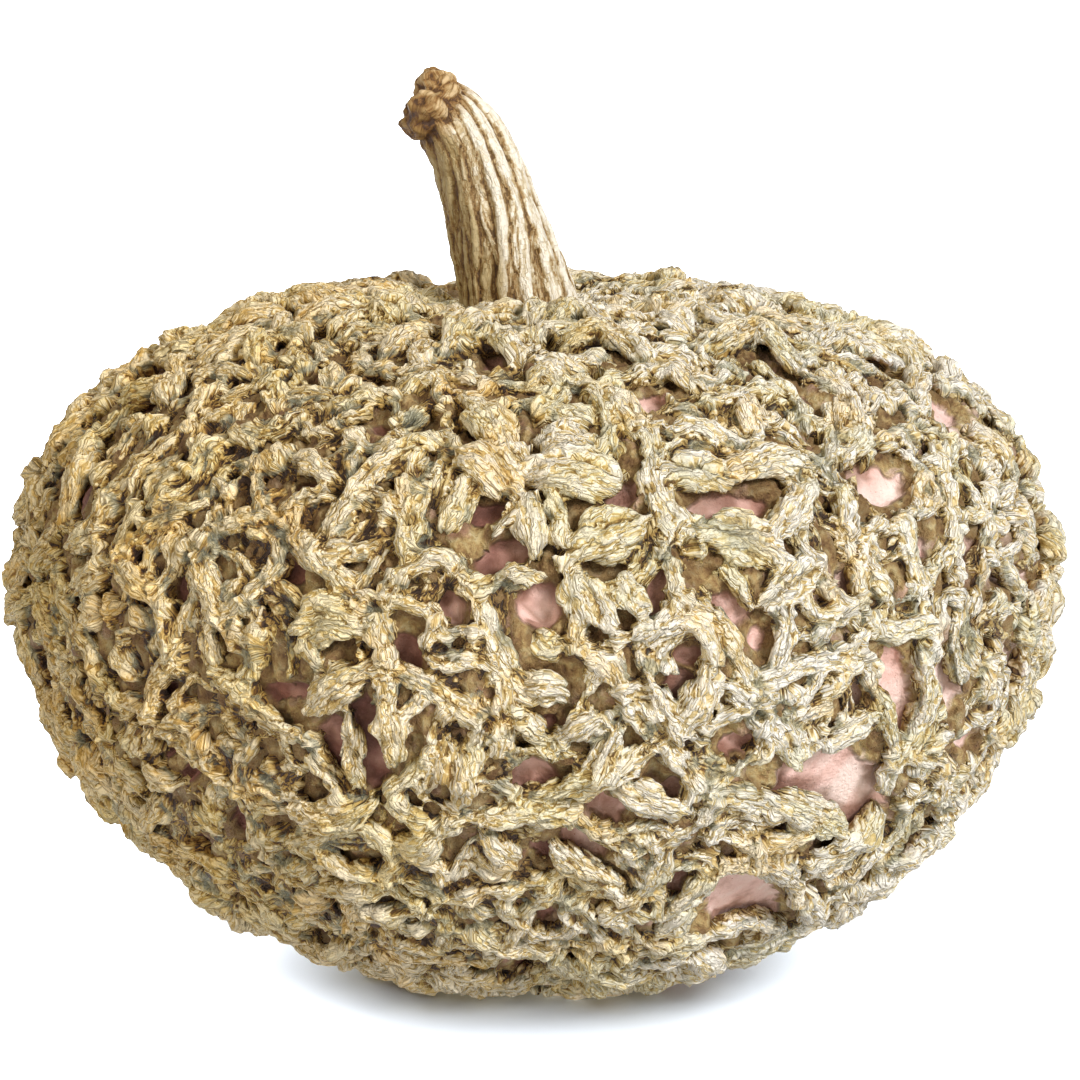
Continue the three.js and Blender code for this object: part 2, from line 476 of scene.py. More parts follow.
def walkOnSkin(start, heading, length, curl=0.0):
    place, normal = onSkin(start)
    steps = max(strandLook["leastRings"], round(length / strandLook["step"]))
    line = [(place, normal)]
    for _ in range(steps):
        heading = (heading - normal * heading.dot(normal)).normalized()
        heading = Matrix.Rotation(curl / steps, 3, normal) @ heading
        place, normal = onSkin(place + heading * (length / steps))
        line.append((place, normal))
    return line


def addStrand(line, width, kind, rise=None, into=strands, uneven=strandLook["uneven"], rough=1.0):
    places = np.array([p for p, _ in line])
    ups = np.array([n for _, n in line])
    tangents = np.gradient(places, axis=0)
    tangents /= np.linalg.norm(tangents, axis=1, keepdims=True) + 1e-12
    sides = np.cross(ups, tangents)
    sides /= np.linalg.norm(sides, axis=1, keepdims=True) + 1e-12
    share = np.linspace(0, 1, len(line))
    key = draw.random()
    strip = key * strandLook["keySpread"]
    waves = share * len(line) * strandLook["wave"]
    wobble = np.array([noise.noise(Vector((strip, wave, 0))) for wave in waves])
    if kind == "petal":
        half = width / 2 * petalWidth(share) * (1 + strandLook["petalUneven"] * wobble)
        low = strandLook["petalEnds"]
        arch = low + (1 - low) * np.sin(np.pi * share ** 0.8)  # highest a little short of its middle
        top = (rise or between(strandLook["petalRise"])) * arch
        thick = np.minimum(between(strandLook["petalThick"]), width * strandLook["petalStout"])
        bottom = (top - thick) * smoothStep(*strandLook["petalFree"], share) - strandLook["root"]
        dent = between(strandLook["dent"]) if draw.random() < strandLook["dentShare"] else 0.0
    else:
        swelling = ropeWidth(share) if kind == "rope" else bridgeWidth(share)
        half = width / 2 * swelling * (1 + uneven * wobble)
        low = strandLook["ropeEnds"]
        heave = (1 + strandLook["ropeHeave"] * wobble) * (low + (1 - low) * swelling)
        top = (rise or between(strandLook["ropeRise"])) * heave
        bottom = np.full(len(line), -strandLook["root"])
        dent = 0.0
    steps = np.linalg.norm(np.diff(places, axis=0), axis=1)
    into.append({
        "places": places, "ups": ups, "sides": sides,
        "along": np.concatenate([[0], np.cumsum(steps)]),
        "half": half, "top": top, "bottom": bottom, "key": key, "web": strandLook["web"][kind],
        "dent": dent * np.sin(np.pi * share), "rough": rough,
    })
    return into[-1]


def shellOf(strand):
    turns = np.linspace(0, 2 * np.pi, strandLook["ringSides"], endpoint=False)
    across = np.sign(np.cos(turns)) * np.abs(np.cos(turns)) ** strandLook["sidesFull"]
    upper = np.maximum(np.sin(turns), 0) ** strandLook["topFull"]
    lower = np.minimum(np.sin(turns), 0)
    tall = strand["top"] - strand["bottom"]
    middle = (strand["bottom"] + strandLook["widest"] * tall)[:, None]
    rise = strand["top"][:, None] - middle
    high = middle + rise * upper + (middle - strand["bottom"][:, None]) * lower
    high = high - strand["dent"][:, None] * rise * upper ** 3
    out = strand["half"][:, None] * across
    spots = (strand["places"][:, None] + strand["sides"][:, None] * out[..., None]
             + strand["ups"][:, None] * high[..., None]).reshape(-1, 3)
    scale = 1 / strandLook["lumpSize"]
    lump = noiseAt(spots, scale) * strandLook["lumps"] * strand["rough"]
    ragged = noiseAt(spots, scale, strandLook["raggedFrom"]) * strandLook["ragged"] * strand["rough"]
    return (spots + np.repeat(strand["ups"], len(turns), axis=0) * lump[:, None]
            + np.repeat(strand["sides"], len(turns), axis=0) * ragged[:, None])


def makeShells(name, chosen):
    sides = strandLook["ringSides"]
    vertices, faces = [], []
    for strand in chosen:
        faces += tubeFaces(len(vertices), len(strand["places"]), sides)
        vertices += [tuple(v) for v in shellOf(strand)]
    shells = newPiece(name, vertices, faces)
    makeActive(shells)
    bpy.ops.object.mode_set(mode="EDIT")
    bpy.ops.mesh.select_all(action="SELECT")
    bpy.ops.mesh.normals_make_consistent(inside=False)
    bpy.ops.object.mode_set(mode="OBJECT")
    return shells


class Room:  # grid of what is already laid, to keep new warts apart
    def __init__(self, cell):
        self.cell = cell
        self.cells = {}

    def keyOf(self, place):
        return tuple(int(math.floor(c / self.cell)) for c in place)

    def add(self, place, reach):
        self.cells.setdefault(self.keyOf(place), []).append((Vector(place), reach))

    def gap(self, place):
        x, y, z = self.keyOf(place)
        best = self.cell
        for dx, dy, dz in product((-1, 0, 1), repeat=3):
            for other, reach in self.cells.get((x + dx, y + dy, z + dz), ()):
                best = min(best, (other - place).length - reach)
        return best


room = Room(strandLook["farthest"])


def claim(strand):
    for place, half in zip(strand["places"], strand["half"]):
        room.add(Vector(place), half)


def layTraced():
    pixel = photoView["pixelSize"]
    for group, kind in ((petals, "petal"), (ropes, "rope")):
        for region in group.values():
            for width, *points in region:
                line = tracedLine(points)
                if len(line) >= strandLook["leastRings"]:
                    claim(addStrand(line, width * pixel, kind))
    print("traced:", len(strands), "warts")


layTraced()


# openings: bare skin between the warts, the photograph's own and more on the sides that aren't seen

openingLook = {
    "more": 260,  # where they aren't traced
    "tries": 4,  # for each of those
    "moreSize": (0.0026, 0.0062),
    "moreHigh": (0.6, 1.6),  # against that size
    "moreRoom": 0.0006,  # of its middle from any wart
    "unseen": 0.25,  # cosine to the view, over which the traced ones are enough
    "soft": 0.17,  # of its edge
    "ragged": 0.26,
    "raggedScale": 300,
    "reach": 0.026,  # farthest that one spreads from its middle
    "depth": 0.014,
    "keptFrom": {"join": 1.0, "star": 1.1, "crumb": 1.2, "bridge": 1.15},  # half widths, by what is laid
}
openings = []


def addOpening(middle, wide, high):
    basis = np.array([wide, high, wide.cross(high).normalized() * openingLook["depth"]])
    openings.append((np.array(middle), np.linalg.inv(basis)))


def traceOpenings():
    for x, y, halfWide, halfHigh, turn in bareSpots:
        c, s = math.cos(math.radians(turn)), math.sin(math.radians(turn))
        middle = seenAt(x, y)
        wide = seenAt(x + halfWide * c, y + halfWide * s)
        high = seenAt(x - halfHigh * s, y + halfHigh * c)
        if middle and wide and high:
            addOpening(middle, wide - middle, high - middle)
    print("openings traced:", len(openings))


traceOpenings()


def openingSpan(coords):
    nearest = np.full(len(coords), farOff)
    rough = noiseAt(coords, openingLook["raggedScale"]) * openingLook["ragged"]
    reach = openingLook["reach"]
    low, high = coords.min(axis=0) - reach, coords.max(axis=0) + reach
    middles = np.array([middle for middle, _ in openings])
    for index in np.flatnonzero(np.all((middles > low) & (middles < high), axis=1)):
        middle, inverse = openings[index]
        offset = coords - middle
        near = np.flatnonzero(np.abs(offset).max(axis=1) < reach)
        span = np.linalg.norm(offset[near] @ inverse, axis=1) + rough[near]
        nearest[near] = np.minimum(nearest[near], span)
    return nearest


def bareMask(span):
    return 1 - smoothStep(1 - openingLook["soft"], 1 + openingLook["soft"], span)


def isClear(line, kind):
    return openingSpan(np.array([p for p, _ in line])).min() > openingLook["keptFrom"][kind]


# the traced warts grow into each other where their ends come close

joinLook = {
    "reach": 0.012,  # farthest that an end looks for another wart
    "width": 1.7,  # against the half width of the narrower one
    "inside": 3,  # rings from the end, where the join starts
    "back": 0.3,  # cosine to the wart's own way, under which it would turn back
}


def joinEnds():
    owners = [(strand, ring) for strand in strands for ring in range(len(strand["places"]))]
    near = KDTree(len(owners))
    for index, (strand, ring) in enumerate(owners):
        near.insert(strand["places"][ring], index)
    near.balance()
    joined = 0
    for strand in list(strands):
        ends = (joinLook["inside"], -1 - joinLook["inside"])
        for end in ends if strand["web"] == strandLook["web"]["rope"] else ends[:1]:
            start = Vector(strand["places"][end])
            outward = (Vector(strand["places"][0 if end > 0 else -1]) - start).normalized()
            hits = near.find_range(start, joinLook["reach"])
            for place, index, distance in sorted(hits, key=lambda hit: hit[2]):
                other, ring = owners[index]
                way = (place - start).normalized()
                if other is strand or way.dot(outward) < joinLook["back"]:
                    continue
                line = walkOnSkin(start, way, distance)
                if distance > other["half"][ring] and isClear(line, "join"):
                    width = joinLook["width"] * min(strand["half"].max(), other["half"].max())
                    claim(addStrand(line, width, "bridge"))
                    joined += 1
                break
    print("joined:", joined, "ends")


joinEnds()


# more warts: stars and ribs on the sides that aren't seen, then crumbs and bridges in what room is left

scatterLook = {
    "hubs": 5000,  # tries
    "unseen": 0.22,  # cosine to the view, over which the traced warts are enough
    "hubRoom": 0.025,
    "clear": 0.004,  # of a star's middle from any traced wart
    "petals": (4, 6),
    "petalSpread": 0.3,  # of the turn between two petals
    "petalStart": 0.002,  # from the star's middle
    "petalLength": (0.012, 0.022),
    "petalWidth": (0.0065, 0.0125),
    "petalCurl": 0.8,  # radians, either way
    "ribs": 3,  # from a star to the nearest others
    "ribLongest": 0.06,
    "ribSkipped": 0.7,  # of those that run back to an earlier star
    "ribCurl": 0.6,
    "ropeWidth": (0.0045, 0.0068),
    "crumbs": 4000,  # tries
    "crumbRoom": 0.0030,
    "crumbLength": (0.008, 0.016),
    "crumbCurl": 0.9,
    "crumbWidth": (0.0055, 0.0100),
    "crumbRise": (0.0054, 0.0074),
    "bridges": (  # tries, least room, width and rise: of the ribs, then of lower ones between them
        (18000, 0.0008, (0.0042, 0.0082), (0.0044, 0.0068)),
        (14000, 0.0004, (0.0040, 0.0070), (0.0024, 0.0040)),
    ),
    "bridgeReach": 8,  # steps to each side, up to the next wart
    "bridgeCurl": 0.25,  # radians a step
    "hold": 0.001,  # how far it goes into that wart
    "stub": 3,  # steps of a free end
}


def skinPoint():
    while True:
        way = Vector((draw.gauss(0, 1), draw.gauss(0, 1), draw.gauss(0, 1)))
        place, normal, _, _ = skinTree.ray_cast(Vector((0, 0, heartHeight)), way.normalized())
        if place:
            return place, normal


def facing(place, normal):
    return (cameraPlace - place).normalized().dot(normal)


def scatterStars():
    hubs = []
    for _ in range(scatterLook["hubs"]):
        place, normal = skinPoint()
        seen = facing(place, normal) > scatterLook["unseen"]
        if seen or room.gap(place) < scatterLook["clear"]:
            continue
        if all((place - other).length > scatterLook["hubRoom"] for other, _ in hubs):
            hubs.append((place, normal))
    for place, normal in hubs:
        count = draw.randint(*scatterLook["petals"])
        first = draw.uniform(0, 2 * math.pi)
        ahead = normal.orthogonal().normalized()
        for k in range(count):
            turn = first + 2 * math.pi * (k + either(scatterLook["petalSpread"])) / count
            heading = Matrix.Rotation(turn, 3, normal) @ ahead
            length = between(scatterLook["petalLength"])
            start = place + heading * scatterLook["petalStart"]
            line = walkOnSkin(start, heading, length, either(scatterLook["petalCurl"]))
            if room.gap(line[-1][0]) > 0.0 and isClear(line, "star"):
                claim(addStrand(line, between(scatterLook["petalWidth"]), "petal"))
    ribs = 0
    for index, (place, normal) in enumerate(hubs):
        near = sorted(range(len(hubs)), key=lambda j: (hubs[j][0] - place).length)
        for j in near[1:1 + scatterLook["ribs"]]:
            span = hubs[j][0] - place
            if span.length > scatterLook["ribLongest"]:
                continue
            if j < index and draw.random() < scatterLook["ribSkipped"]:
                continue
            line = walkOnSkin(place, span.normalized(), span.length, either(scatterLook["ribCurl"]))
            if isClear(line, "star"):
                claim(addStrand(line, between(scatterLook["ropeWidth"]), "rope"))
                ribs += 1
    print("scattered:", len(hubs), "stars,", ribs, "ribs")


def scatterOpenings():
    for _ in range(openingLook["more"] * openingLook["tries"]):
        if len(openings) >= openingLook["more"] + len(bareSpots):
            break
        place, normal = skinPoint()
        seen = facing(place, normal) > openingLook["unseen"]
        if seen or room.gap(place) < openingLook["moreRoom"]:
            continue
        wide = anyHeading(normal)
        size = between(openingLook["moreSize"])
        addOpening(place, wide * size, normal.cross(wide) * size * between(openingLook["moreHigh"]))
    print("openings:", len(openings))


def scatterCrumbs():
    laid = 0
    for _ in range(scatterLook["crumbs"]):
        place, normal = skinPoint()
        if room.gap(place) < scatterLook["crumbRoom"]:
            continue
        ahead = anyHeading(normal)
        length = between(scatterLook["crumbLength"])
        line = walkOnSkin(place - ahead * length / 2, ahead, length, either(scatterLook["crumbCurl"]))
        if isClear(line, "crumb"):
            kind = draw.choice(("petal", "rope"))
            width, rise = between(scatterLook["crumbWidth"]), between(scatterLook["crumbRise"])
            claim(addStrand(line, width, kind, rise))
            laid += 1
    print("crumbs:", laid)


def reachOut(place, normal, heading, curl):
    line = []
    for _ in range(scatterLook["bridgeReach"]):
        heading = Matrix.Rotation(curl, 3, normal) @ heading
        heading = (heading - normal * heading.dot(normal)).normalized()
        place, normal = onSkin(place + heading * strandLook["step"])
        line.append((place, normal))
        if room.gap(place) < -scatterLook["hold"]:
            return line, True
    return line[:scatterLook["stub"]], False


def layBridges(tries, leastRoom, width, rise):
    laid = 0
    for _ in range(tries):
        place, normal = skinPoint()
        if room.gap(place) < leastRoom:
            continue
        ahead = anyHeading(normal)
        curl = either(scatterLook["bridgeCurl"])
        before, heldBefore = reachOut(place, normal, -ahead, -curl)
        after, heldAfter = reachOut(place, normal, ahead, curl)
        line = before[::-1] + [(place, normal)] + after
        if not (heldBefore or heldAfter) or len(line) < strandLook["leastRings"]:
            continue
        if isClear(line, "bridge"):
            kind = "bridge" if heldBefore and heldAfter else "rope"
            claim(addStrand(line, between(width), kind, between(rise)))
            laid += 1
    print("bridges:", laid)


scatterStars()
scatterOpenings()
scatterCrumbs()
for bridgeRound in scatterLook["bridges"]:
    layBridges(*bridgeRound)
print("strands:", len(strands))


# what a point of the surface belongs to: the strand it lies on, and where along and across it

grainReach = {
    "cell": 0.006,  # of the grid that the points are sorted into
    "margin": 0.0025,  # beside a strand, where its grain still counts
    "ahead": 0.003,  # the same past its ends
    "soft": 0.0005,
    "down": 0.6,  # how much a strand's sides count as its width
    "dentEdge": 1.25,  # half widths from the middle, where a dent has run out
}


def cellsOf(coords, size):
    keys = np.floor(coords / size).astype(np.int64)
    order = np.lexsort(keys.T)
    breaks = np.flatnonzero(np.any(np.diff(keys[order], axis=0), axis=1)) + 1
    return {tuple(keys[part[0]]): part for part in np.split(order, breaks)}


def pointsNear(cells, size, low, high):
    first, last = np.floor(low / size).astype(int), np.floor(high / size).astype(int)
    spans = (range(a, b + 1) for a, b in zip(first, last))
    found = [cells[key] for key in product(*spans) if key in cells]
    return np.concatenate(found) if found else np.empty(0, dtype=np.int64)


def readGrain(coords, chosen, margin=grainReach["margin"]):
    count = len(coords)
    read = {name: np.full(count, farOff) for name in ("best", "second", "gap")}
    read.update({name: np.zeros(count) for name in ("key", "dent", "upward", "web")})
    read["grain"] = coords * perMetre
    read["sideways"], read["forward"] = np.zeros((2, count, 3))
    cells = cellsOf(coords, grainReach["cell"])
    soft = grainReach["soft"]
    for strand in chosen:
        spread = strand["half"].max() + margin
        near = pointsNear(cells, grainReach["cell"], strand["places"].min(axis=0) - spread,
                          strand["places"].max(axis=0) + spread)
        if not len(near):
            continue
        offset = coords[near][:, None] - strand["places"]
        across = np.einsum("vsi,si->vs", offset, strand["sides"])
        upward = np.einsum("vsi,si->vs", offset, strand["ups"])
        ahead = np.maximum((offset ** 2).sum(axis=2) - across ** 2 - upward ** 2, 0)
        reach = np.sqrt((across / (strand["half"] + soft)) ** 2 + (upward / (strand["top"] + soft)) ** 2
                        + ahead / grainReach["ahead"] ** 2)
        ring = reach.argmin(axis=1)
        rows = np.arange(len(near))
        reach, across, upward, ahead = (values[rows, ring] for values in (reach, across, upward, ahead))
        best, second = read["best"][near], read["second"][near]
        closer = reach < best
        read["second"][near] = np.where(closer, best, np.minimum(second, reach))
        at, ring, across, upward = near[closer], ring[closer], across[closer], upward[closer]
        half, top = strand["half"][ring], strand["top"][ring]
        down = np.sign(across) * grainReach["down"] * np.maximum(top - upward, 0)
        read["best"][at] = reach[closer]
        read["upward"][at] = upward
        read["gap"][at] = np.sqrt(across ** 2 + ahead[closer]) - half
        read["key"][at] = strand["key"]
        read["web"][at] = strand["web"]
        read["sideways"][at] = strand["sides"][ring]
        read["forward"][at] = np.cross(strand["sides"][ring], strand["ups"][ring])
        inward = np.clip(grainReach["dentEdge"] - np.abs(across) / (half + soft), 0, 1)
        read["dent"][at] = strand["dent"][ring] * inward
        strip = np.full(len(at), strand["key"] * strandLook["keySpread"])
        read["grain"][at] = np.stack([strand["along"][ring] * perMetre, (across + down) * perMetre, strip],
                                     axis=1)
    return read


def reliefOf(mesh, coords, rounds):  # height over the surface as it is after so many rounds of smoothing
    one, two = edgeEnds(mesh)
    count = np.bincount(one, minlength=len(coords)) + np.bincount(two, minlength=len(coords))
    smooth = coords.copy()
    for _ in range(rounds):
        total = np.empty_like(smooth)
        for axis in range(3):
            total[:, axis] = (np.bincount(one, smooth[two, axis], len(coords))
                              + np.bincount(two, smooth[one, axis], len(coords)))
        smooth = total / np.maximum(count, 1)[:, None]
    normals = readVectors(mesh.vertices, "normal")
    return np.einsum("vi,vi->v", coords - smooth, normals)


# surface: wrinkles, then what the materials read

surfaceLook = {
    "rounding": 3,  # rounds of smoothing that fill the corners where warts meet
    "easing": 0.5,  # how far each of them goes
    "folds": (  # creases a millimetre, along and across a strand, their depth and where they start
        (0.10, 0.27, 0.0009, 0.0),
        (0.05, 0.13, 0.0013, 40.0),
    ),
    "foldEdge": 3.2,  # how steep a crease's sides are
    "foldLevel": 0.75,  # of its depth, which goes inwards
    "crumb": 0.00045,
    "crumbScale": 560,
    "crestRounds": 3,  # of smoothing, for the relief of the creases
    "swellRounds": 30,  # the same for that of whole warts
    "shown": 0.3,  # weight of what shows when the facets are thinned, against 1 for what is covered
    "thinning": 0.0001,
    "leastPart": 60,  # vertices; a loose part with fewer is a scrap of the thinning or a bubble
}


def wrapOf(coords):  # a grain that runs down the fruit's sides, where no wart gives one
    x, y, z = coords.T
    up = np.arctan2(z - heartHeight, np.hypot(x, y))
    aside = np.arctan2(x, -y) * np.cos(up)
    return np.stack([up, aside, np.zeros(len(coords))], axis=1) * cadHigh.x * perMetre


def setAboveFloor(mesh, coords):
    coords[:, 2] = np.maximum(coords[:, 2], cadLow.z)
    setCoords(mesh, coords)


def wrinkle(thing, grain, amount):
    mesh = thing.data
    coords = readVectors(mesh.vertices, "co")
    normals = readVectors(mesh.vertices, "normal")
    push = noiseAt(coords, surfaceLook["crumbScale"]) * surfaceLook["crumb"]
    for along, across, depth, first in surfaceLook["folds"]:
        spots = (Vector((u * along, w * across, k + first)) for u, w, k in grain)
        fold = np.array([abs(noise.noise(spot)) for spot in spots])
        push += (np.minimum(fold * surfaceLook["foldEdge"], 1) - surfaceLook["foldLevel"]) * depth
    setAboveFloor(mesh, coords + normals * (push * amount)[:, None])


def dropScraps(thing):
    one, two = edgeEnds(thing.data)
    part = np.arange(len(thing.data.vertices))
    while True:  # each vertex takes the lowest number that it is joined to
        least = part.copy()
        np.minimum.at(least, one, part[two])
        np.minimum.at(least, two, part[one])
        least = least[least]
        if np.array_equal(least, part):
            break
        part = least
    scrap = np.bincount(part)[part] < surfaceLook["leastPart"]
    setAboveFloor(thing.data, readVectors(thing.data.vertices, "co"))
    makeActive(thing)
    bpy.ops.object.mode_set(mode="EDIT")
    bpy.ops.mesh.select_mode(type="VERT")
    bpy.ops.mesh.select_all(action="DESELECT")
    bpy.ops.object.mode_set(mode="OBJECT")
    thing.data.vertices.foreach_set("select", scrap)
    bpy.ops.object.mode_set(mode="EDIT")
    bpy.ops.mesh.delete(type="VERT")
    bpy.ops.object.mode_set(mode="OBJECT")


def slim(thing, most, covered):
    triangles = 2 * len(thing.data.polygons)
    if triangles > most:
        weights = thing.vertex_groups.new(name="thinning")
        weights.add(np.flatnonzero(~covered).tolist(), surfaceLook["shown"], "REPLACE")
        weights.add(np.flatnonzero(covered).tolist(), 1.0, "REPLACE")
        applyModifier(thing, "DECIMATE", ratio=most / triangles, use_collapse_triangulate=True,
                      vertex_group=weights.name, vertex_group_factor=surfaceLook["thinning"])
        thing.vertex_groups.clear()
    dropScraps(thing)
    print(thing.name + ":", triangles, "triangles slimmed to", len(thing.data.polygons), "faces")


def setGrain(mesh, coords, read):  # by face corner, so that a face has the grain of one strand only
    corners = np.empty(len(mesh.loops), dtype=np.int64)
    sizes = np.empty(len(mesh.polygons), dtype=np.int64)
    mesh.loops.foreach_get("vertex_index", corners)
    mesh.polygons.foreach_get("loop_total", sizes)
    first = np.repeat(corners[np.cumsum(sizes) - sizes], sizes)
    offset = (coords[corners] - coords[first]) * perMetre
    along = np.einsum("ci,ci->c", offset, read["forward"][first])
    across = np.einsum("ci,ci->c", offset, read["sideways"][first])
    carried = read["grain"][first] + np.stack([along, across, np.zeros(len(first))], axis=1)
    other = read["key"][corners] != read["key"][first]
    values = np.where(other[:, None], carried, read["grain"][corners])
    attribute = mesh.attributes.new("grain", "FLOAT_VECTOR", "CORNER")
    attribute.data.foreach_set("vector", values.astype(np.float32).ravel())


def markSurface(thing, chosen, wrapped=False):
    mesh = thing.data
    coords = readVectors(mesh.vertices, "co")
    read = readGrain(coords, chosen)
    if wrapped:
        setAttribute(mesh, "grain", wrapOf(coords))
    else:
        setGrain(mesh, coords, read)
    setAttribute(mesh, "tone", read["key"])
    setAttribute(mesh, "dent", read["dent"])
    setAttribute(mesh, "crest", reliefOf(mesh, coords, surfaceLook["crestRounds"]) * perMetre)
    setAttribute(mesh, "swell", reliefOf(mesh, coords, surfaceLook["swellRounds"]) * perMetre)
    makeActive(thing)
    bpy.ops.object.shade_smooth()
    return read


# rind: the skin with its thin crust, open where the skin is bare

crustLook = {
    "thick": 0.0018,
    "web": 0.0016,  # more of it beside the ribs
    "webReach": 0.0028,
    "uneven": 0.0012,
    "swells": ((150, 1.0, 0.0), (400, 0.6, 7.0)),  # scale, share and start of that unevenness
    "wrinkled": 1.3,
    "seamFrom": 0.95,  # half widths from a wart's middle, where the painted shade on the crust beside it starts to fade
    "seamWidth": 0.5,
    "dimple": 0.0010,  # how far the bare skin sinks
    "buried": -0.0022,  # gap to a wart's side, under which the crust's facets no longer show
    "mostTriangles": 185000,
}


def growCrust():
    voxelRemesh(rind, skinLook["grid"])
    mesh = rind.data
    coords = readVectors(mesh.vertices, "co")
    normals = readVectors(mesh.vertices, "normal")
    span = openingSpan(coords)
    read = readGrain(coords, strands, crustLook["webReach"])
    climb = read["web"] * (1 - smoothStep(0.0, crustLook["webReach"], read["gap"]))
    thick = crustLook["thick"] + crustLook["web"] * climb
    thick += crustLook["uneven"] * sum(
        share * noiseAt(coords, scale, start) for scale, share, start in crustLook["swells"])
    covered = 1 - bareMask(span)
    sunk = crustLook["dimple"] * (1 - covered)
    setCoords(mesh, coords + normals * (thick * covered - sunk)[:, None])
    applyModifier(rind, "SMOOTH", factor=surfaceLook["easing"], iterations=1)
    wrinkle(rind, wrapOf(coords), crustLook["wrinkled"] * covered)
    print("crust grown on", len(coords), "vertices")
    slim(rind, crustLook["mostTriangles"], read["gap"] < crustLook["buried"])


growCrust()
rindRead = markSurface(rind, strands, wrapped=True)
setAttribute(rind.data, "bare", bareMask(openingSpan(readVectors(rind.data.vertices, "co"))))
# seam: 0 close to a wart, rising to 1 away from it; the material paints shade on the crust where it is low
rindSeam = (rindRead["best"] - crustLook["seamFrom"]) / crustLook["seamWidth"]
setAttribute(rind.data, "seam", np.clip(rindSeam, 0, 1))
setAttribute(rind.data, "crust", np.ones(len(rind.data.vertices)))


# warts in four pieces, a quarter of the fruit each, so that they keep fine facets

wartLook = {
    "quarters": ("front_right", "back_right", "back_left", "front_left"),
    "voxel": {"front": 0.0008, "back": 0.0010},
    "mostTriangles": {"front": 195000, "back": 150000},
    "foot": (0.0016, 0.0072),  # heights between which a wart's side comes out of the crust; below them it gets the most painted shade
    "meeting": 0.4,  # half widths, over which two of them count as meeting
    "jointShade": 0.35,  # how much painted shade darkens the line where two of them meet
    "buried": 0.0022,  # height under which its facets no longer show
}


def quarterOf(strand):
    x, y, _ = strand["places"][len(strand["places"]) // 2]
    return ("front" if y < 0 else "back") + ("_right" if x > 0 else "_left")


def makeWarts(quarter):
    chosen = [s for s in strands if quarterOf(s) == quarter]
    warts = makeShells("warts_" + quarter, chosen)
    side = quarter.split("_")[0]
    voxelRemesh(warts, wartLook["voxel"][side])
    applyModifier(warts, "SMOOTH", factor=surfaceLook["easing"], iterations=surfaceLook["rounding"])
    read = readGrain(readVectors(warts.data.vertices, "co"), chosen)
    wrinkle(warts, read["grain"], 1.0)
    slim(warts, wartLook["mostTriangles"][side], read["upward"] < wartLook["buried"])
    read = markSurface(warts, chosen)
    # seam: low at a wart's foot and where two warts meet, where the material paints shade; its middle
    # values place grey streaks on the flanks
    foot = smoothStep(*wartLook["foot"], read["upward"])
    meeting = np.clip(1 - (read["second"] - read["best"]) / wartLook["meeting"], 0, 1)
    setAttribute(warts.data, "seam", foot * (1 - wartLook["jointShade"] * meeting))
    return warts


wartPieces = [makeWarts(quarter) for quarter in wartLook["quarters"]]


# stem: a tapering core with corky ridges along it and a knobbly cut end

stemLook = {
    "line": [  # from inside the hollow up to the cut end
        (-0.0040, 0.0, 0.186), (-0.0077, 0.0, 0.202), (-0.0112, 0.0, 0.2135), (-0.0150, -0.0003, 0.225),
        (-0.0193, -0.0008, 0.2360), (-0.0250, -0.0014, 0.2440), (-0.0306, -0.0022, 0.2478),
    ],
    "radius": [0.0162, 0.0143, 0.0132, 0.0119, 0.0109, 0.0096, 0.0080],
    "sides": 48,
    "step": 0.0012,  # between rings along it
    "ridges": 15,
    "ridgeSpread": 0.2,  # of the turn between two ridges
    "ridgeShort": (2, 7),  # rings before the cut end
    "ridgeWidth": (0.0022, 0.0066),
    "ridgeRise": (0.0006, 0.0027),
    "threads": 26,
    "threadShort": 4,
    "threadWidth": (0.0012, 0.0022),
    "threadRise": (0.0008, 0.0022),
    "twist": 0.75,
    "sway": 0.28,  # radians, either way
    "swayWaves": 3,
    "swayFrom": (0, 60),  # where in the noise that starts
    "uneven": 0.10,
    "rough": 0.25,
    "wrinkled": 0.25,
    "rim": {  # knobs round the cut end
        "count": 9, "spread": 0.25, "reach": 0.92, "lean": 0.35, "uneven": 0.001, "halfLength": 0.0042,
        "rings": 7, "width": (0.006, 0.0095), "rise": (0.0016, 0.0036),
    },
    "pith": {  # lower knobs on its face, one for each of those
        "turn": 0.3, "reach": (0.25, 0.7), "lean": 0.3, "halfLength": 0.003, "rings": 6,
        "width": (0.003, 0.006), "rise": (0.001, 0.0032),
    },
    "seamWidth": 0.6,  # half widths, of the painted shade in the groove beside a ridge
    "tip": (-0.011, -0.004),  # along it from the cut end, where the colour of the end comes in
    # patches of its own darker colour, added to the painted shade on the stem's left
    "wornPatches": 0.5,
    "darkPatchScale": 120,
    "voxel": 0.0006,
    "mostTriangles": 80000,
}
stemStrands = []


def stemRings():
    points = np.array(smoothLine(stemLook["line"], stemLook["step"]))
    tangents = np.gradient(points, axis=0)
    tangents /= np.linalg.norm(tangents, axis=1, keepdims=True)
    sides = np.cross([0, 1, 0], tangents)
    sides /= np.linalg.norm(sides, axis=1, keepdims=True)
    depths = np.cross(tangents, sides)
    given = np.linspace(0, 1, len(stemLook["radius"]))
    radius = np.interp(np.linspace(0, 1, len(points)), given, stemLook["radius"])
    return points, tangents, sides, depths, radius


stemPoints, stemTangents, stemSides, stemDepths, stemRadius = stemRings()


def stemSpot(ring, turn, reach=1.0):
    out = math.cos(turn) * stemSides[ring] + math.sin(turn) * stemDepths[ring]
    return Vector(stemPoints[ring] + out * stemRadius[ring] * reach), Vector(out)


def layRidge(turn, first, last, width, rise):
    wave = between(stemLook["swayFrom"])
    line = []
    for ring in range(first, last):
        share = ring / len(stemPoints)
        sway = stemLook["sway"] * noise.noise(Vector((wave, share * stemLook["swayWaves"], 0)))
        line.append(stemSpot(ring, turn + stemLook["twist"] * share + sway))
    addStrand(line, width, "rope", rise, stemStrands, stemLook["uneven"], stemLook["rough"])


